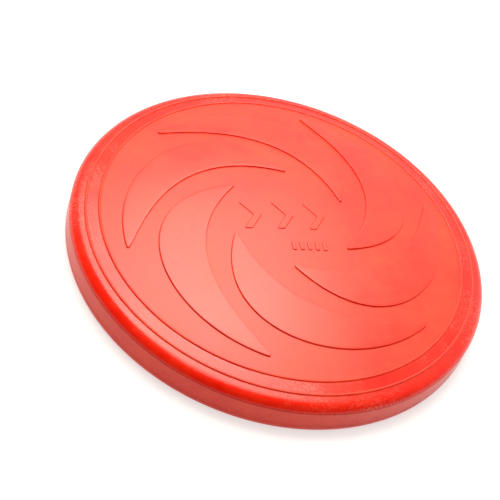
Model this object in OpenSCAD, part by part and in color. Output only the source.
// Flying disc for lawn games and dog fetch, moulded in soft red rubber.
// A domed flight plate runs into a rounded shoulder with a deep skirt under it. Two thin
// beads circle the plate's edge, six crescent vanes swirl round its crown, and a small
// plain emblem stands on the hub. The disc lies on the skirt's foot, +Z up through the
// crown.
// The real disc is one moulding. Its nodes are the features that a person names on it,
// and they meet face to face, with no gap and no overlap.

/* [Disc] */
// Outer diameter, at the foot of the skirt
disc_d = 220; // [206:1:260]
// Height of the outer bead line above the foot of the skirt
bead_height = 17.7; // [15:0.1:24]
// Rise of the crown above the outer bead line
dome_rise = 10.4; // [6:0.1:14]
// Thickness of the flight plate
plate_t = 3; // [2:0.1:4]

/* [Rim] */
// Thickness of the skirt, under its inside fillet
wall_t = 4; // [3.4:0.1:5]
// Radius of the rounded shoulder
shoulder_r = 6.4; // [5.6:0.1:7.6]
// How far the crease between shoulder and skirt lies below the outer bead line
crease_drop = 4.4; // [4:0.1:5]
// How far the skirt flares out towards its foot
skirt_flare = 0.4; // [0:0.1:0.8]
// Radius of the fillet between the skirt and the underside of the plate
inside_fillet_r = 5; // [3:0.1:6]
// Radius of the foot's outer edge
foot_r = 1.2; // [0.8:0.1:1.3]

/* [Beads] */
// Distance from the disc's edge to the outer bead line
bead_inset = 7.7; // [7.4:0.05:10]
// Distance between the two bead lines
bead_gap = 6.65; // [5:0.05:8]
// Width of a bead
bead_w = 1.2; // [0.8:0.1:1.6]
// Height of a bead above the plate
bead_h = 0.6; // [0.3:0.05:0.8]

/* [Vanes] */
// Distance from the disc's axis to a vane's inner tip
vane_tip_in = 33.7; // [28:0.1:40]
// Distance from the disc's axis to a vane's outer tip
vane_tip_out = 86.3; // [70:0.1:88]
// Angle that a vane sweeps through, from its inner tip to its outer tip
vane_sweep = 108.8; // [90:0.1:120]
// Direction of the first vane's inner tip
vane_start = 153.8; // [0:0.1:360]
// Height of a vane above the plate
vane_h = 0.8; // [0.4:0.05:1.2]
// Radius of a vane's rounded tips
vane_tip_r = 0.9; // [0.6:0.1:1.4]

/* [Emblem] */
// Height of the emblem above the plate
emblem_h = 0.5; // [0.3:0.05:0.8]
// Tilt of the emblem's rows
emblem_tilt = 10.9; // [-30:0.1:30]
// Height of a chevron, across its two arms
chevron_height = 18; // [10:0.5:20]
// Distance from one chevron to the next
chevron_pitch = 17; // [12:0.5:18]
// Height of a dash
dash_height = 5; // [3:0.5:6]
// Distance from one dash to the next
dash_pitch = 4.1; // [3.2:0.1:4.6]

/* [Hidden] */

rubber_red = [0.93, 0.22, 0.15];
vane_red = [0.96, 0.30, 0.22];

disc_r = disc_d / 2;
outer_bead_r = disc_r - bead_inset;
inner_bead_r = outer_bead_r - bead_gap;

// The plate is part of a large sphere through the crown and the outer bead line.
dome_r = (outer_bead_r ^ 2 + dome_rise ^ 2) / (2 * dome_rise);
crown_z = bead_height + dome_rise;
dome_z = crown_z - dome_r;
dome_facets = 512;
turn_facets = 180;

// A fine parting groove divides the shoulder from the skirt, and a fine flash line runs
// round the skirt above its foot.
skirt_top_r = disc_r - skirt_flare;
groove_depth = 0.3;
groove_w = 0.6;
flash_z = 2.4;
flash_w = 0.5;
flash_h = 0.15;
foot_wall_t = wall_t - 0.4;
foot_inner_r = 1.0;
arc_steps = 8;

// Handles of a vane's two edges, each as a share of the way out from the inner tip
// to the outer tip, and a share of the sweep.
convex_handles = [[1.083, 0.264], [1.25, 0.683]];
concave_handles = [[0.762, 0.512], [0.789, 0.916]];
edge_steps = 28;
tip_steps = 5;
vane_count = 6;

chevron_stroke = 4.2;
chevron_reach = 6.5;
chevron_count = 3;
chevrons_centre = [-3.7, -0.8];
dash_w = 2.2;
dash_count = 5;
dashes_centre = [9.4, -18.9];

function top_z(r) = dome_z + sqrt(dome_r ^ 2 - r ^ 2);
function under_z(r) = dome_z + sqrt((dome_r - plate_t) ^ 2 - r ^ 2);
function on_top(r) = [r, top_z(r)];
function on_underside(r) = [r, under_z(r)];
function polar(r, a) = r * [cos(a), sin(a)];
function heading(v) = atan2(v[1], v[0]);
function arc(centre, r, from, to, steps) =
    [for (i = [0:steps]) centre + polar(r, from + (to - from) * i / steps)];

// The shoulder is an arc that touches the plate's sphere and ends at the crease. Its
// centre lies shoulder_r from the crease, and dome_r - shoulder_r from the sphere's
// centre.
crease = [skirt_top_r, bead_height - crease_drop];
dome_c = [0, dome_z];
reach = dome_r - shoulder_r;
away = crease - dome_c;
along = (reach ^ 2 - shoulder_r ^ 2 + away * away) / (2 * norm(away));
aside = sqrt(reach ^ 2 - along ^ 2);
shoulder_c = dome_c + (along * away + aside * [-away[1], away[0]]) / norm(away);
shoulder_a = heading(shoulder_c - dome_c);
crease_a = heading(crease - shoulder_c);

// The inside fillet touches the underside's sphere and the skirt's straight inner wall.
inner_wall_r = skirt_top_r - wall_t;
fillet_reach = dome_r - plate_t - inside_fillet_r;
inside_a = acos((inner_wall_r - inside_fillet_r) / fillet_reach);
inside_c = dome_c + polar(fillet_reach, inside_a);
foot_outer_c = [disc_r - flash_h - foot_r, foot_r];
foot_inner_c = [disc_r - flash_h - foot_wall_t + foot_inner_r, foot_inner_r];

// The shoulder and the skirt meet in the plane of the groove's bottom, which cuts the
// inside fillet at the angle parting_a.
groove_bottom = crease - [groove_depth, groove_w / 2];
parting_a = asin((groove_bottom[1] - inside_c[1]) / inside_fillet_r);

land = [on_top(inner_bead_r), on_top(inner_bead_r + bead_w / 2),
        on_top(outer_bead_r - bead_w / 2), on_top(outer_bead_r + bead_w / 2)];
shoulder_round = arc(shoulder_c, shoulder_r, shoulder_a, crease_a, arc_steps);
fillet_above = arc(inside_c, inside_fillet_r, parting_a, inside_a, arc_steps);
fillet_below = arc(inside_c, inside_fillet_r, 0, parting_a, arc_steps);
flash = [[disc_r - flash_h, flash_z + flash_w / 2],
         [disc_r, flash_z],
         [disc_r - flash_h, flash_z - flash_w / 2]];
foot = concat(arc(foot_outer_c, foot_r, 0, -90, arc_steps),
              arc(foot_inner_c, foot_inner_r, -90, -180, arc_steps));

module flight_plate() {
    color(rubber_red)
    intersection() {
        cylinder(r = inner_bead_r, h = 2 * crown_z, $fn = turn_facets);
        dome_shell(-plate_t, 0);
    }
}

module shoulder() {
    color(rubber_red)
    rotate_extrude($fn = turn_facets)
    polygon(concat(land, shoulder_round, [groove_bottom], fillet_above,
                   [on_underside(inner_bead_r)]));
}

module skirt() {
    color(rubber_red)
    rotate_extrude($fn = turn_facets)
    polygon(concat([groove_bottom, crease - [0, groove_w]], flash, foot, fillet_below));
}

// A low half-round bead that follows the plate at radius r.
module bead(r) {
    color(rubber_red)
    rotate_extrude($fn = turn_facets)
    polygon(concat([on_top(r)],
                   [for (i = [0:arc_steps]) let (a = 180 * (1 - i / arc_steps),
                                                  x = r + bead_w / 2 * cos(a))
                       [x, top_z(x) + bead_h * sin(a)]]));
}

module vane(number) {
    color(vane_red)
    on_dome(vane_h)
    rotate(vane_start + (number - 1) * 360 / vane_count)
    polygon(vane_outline());
}

module emblem_chevrons() {
    color(rubber_red)
    on_dome(emblem_h)
    translate(chevrons_centre)
    rotate(emblem_tilt)
    for (i = [0:chevron_count - 1])
        translate([(i - (chevron_count - 1) / 2) * chevron_pitch, 0])
        chevron();
}

module emblem_dashes() {
    color(rubber_red)
    on_dome(emblem_h)
    translate(dashes_centre)
    rotate(emblem_tilt)
    for (i = [0:dash_count - 1])
        translate([(i - (dash_count - 1) / 2) * dash_pitch, 0])
        square([dash_w, dash_height], center = true);
}

// The layer of the dome from one height above the plate's top surface to another.
module dome_shell(from, to) {
    translate([0, 0, dome_z])
    difference() {
        sphere(r = dome_r + to, $fn = dome_facets);
        sphere(r = dome_r + from, $fn = dome_facets);
    }
}

// A flat shape raised from the plate by the given height.
module on_dome(height) {
    intersection() {
        linear_extrude(2 * crown_z)
        children();
        dome_shell(0, height);
    }
}

// A chevron that points along +X, centred on its own width.
module chevron() {
    half = chevron_height / 2;
    translate([-(chevron_stroke + chevron_reach) / 2, 0])
    polygon([[0, half], [chevron_stroke, half], [chevron_stroke + chevron_reach, 0],
             [chevron_stroke, -half], [0, -half], [chevron_reach, 0]]);
}

// The outline of the vane whose inner tip lies on +X: out along its convex edge, round
// the outer tip, back along its concave edge and round the inner tip.
function vane_point(share) =
    polar(vane_tip_in + share[0] * (vane_tip_out - vane_tip_in), share[1] * vane_sweep);
function bezier(p, t) =
    (1 - t) ^ 3 * p[0] + 3 * (1 - t) ^ 2 * t * p[1] + 3 * (1 - t) * t ^ 2 * p[2] + t ^ 3 * p[3];
function tip_side(tip, towards, side) =
    tip + polar(vane_tip_r, heading(towards - tip) + side * 90);

inner_tip = vane_point([0, 0]);
outer_tip = vane_point([1, 1]);
convex_a = vane_point(convex_handles[0]);
convex_b = vane_point(convex_handles[1]);
concave_a = vane_point(concave_handles[0]);
concave_b = vane_point(concave_handles[1]);
convex_edge = [tip_side(inner_tip, convex_a, -1), convex_a, convex_b,
               tip_side(outer_tip, convex_b, 1)];
concave_edge = [tip_side(outer_tip, concave_b, -1), concave_b, concave_a,
                tip_side(inner_tip, concave_a, 1)];

function edge_points(p) = [for (i = [0:edge_steps]) bezier(p, i / edge_steps)];
function tip_points(tip, from, to) =
    let (a = heading(from - tip), b = heading(to - tip), turn = (b - a + 720) % 360)
    [for (i = [1:tip_steps - 1]) tip + polar(vane_tip_r, a + turn * i / tip_steps)];
function vane_outline() =
    concat(edge_points(convex_edge),
           tip_points(outer_tip, convex_edge[3], concave_edge[0]),
           edge_points(concave_edge),
           tip_points(inner_tip, concave_edge[3], convex_edge[0]));

flight_plate();
shoulder();
skirt();
bead(inner_bead_r);  // inner_bead
bead(outer_bead_r);  // outer_bead
vane(1);  // vane_1
vane(2);  // vane_2
vane(3);  // vane_3
vane(4);  // vane_4
vane(5);  // vane_5
vane(6);  // vane_6
emblem_chevrons();
emblem_dashes();
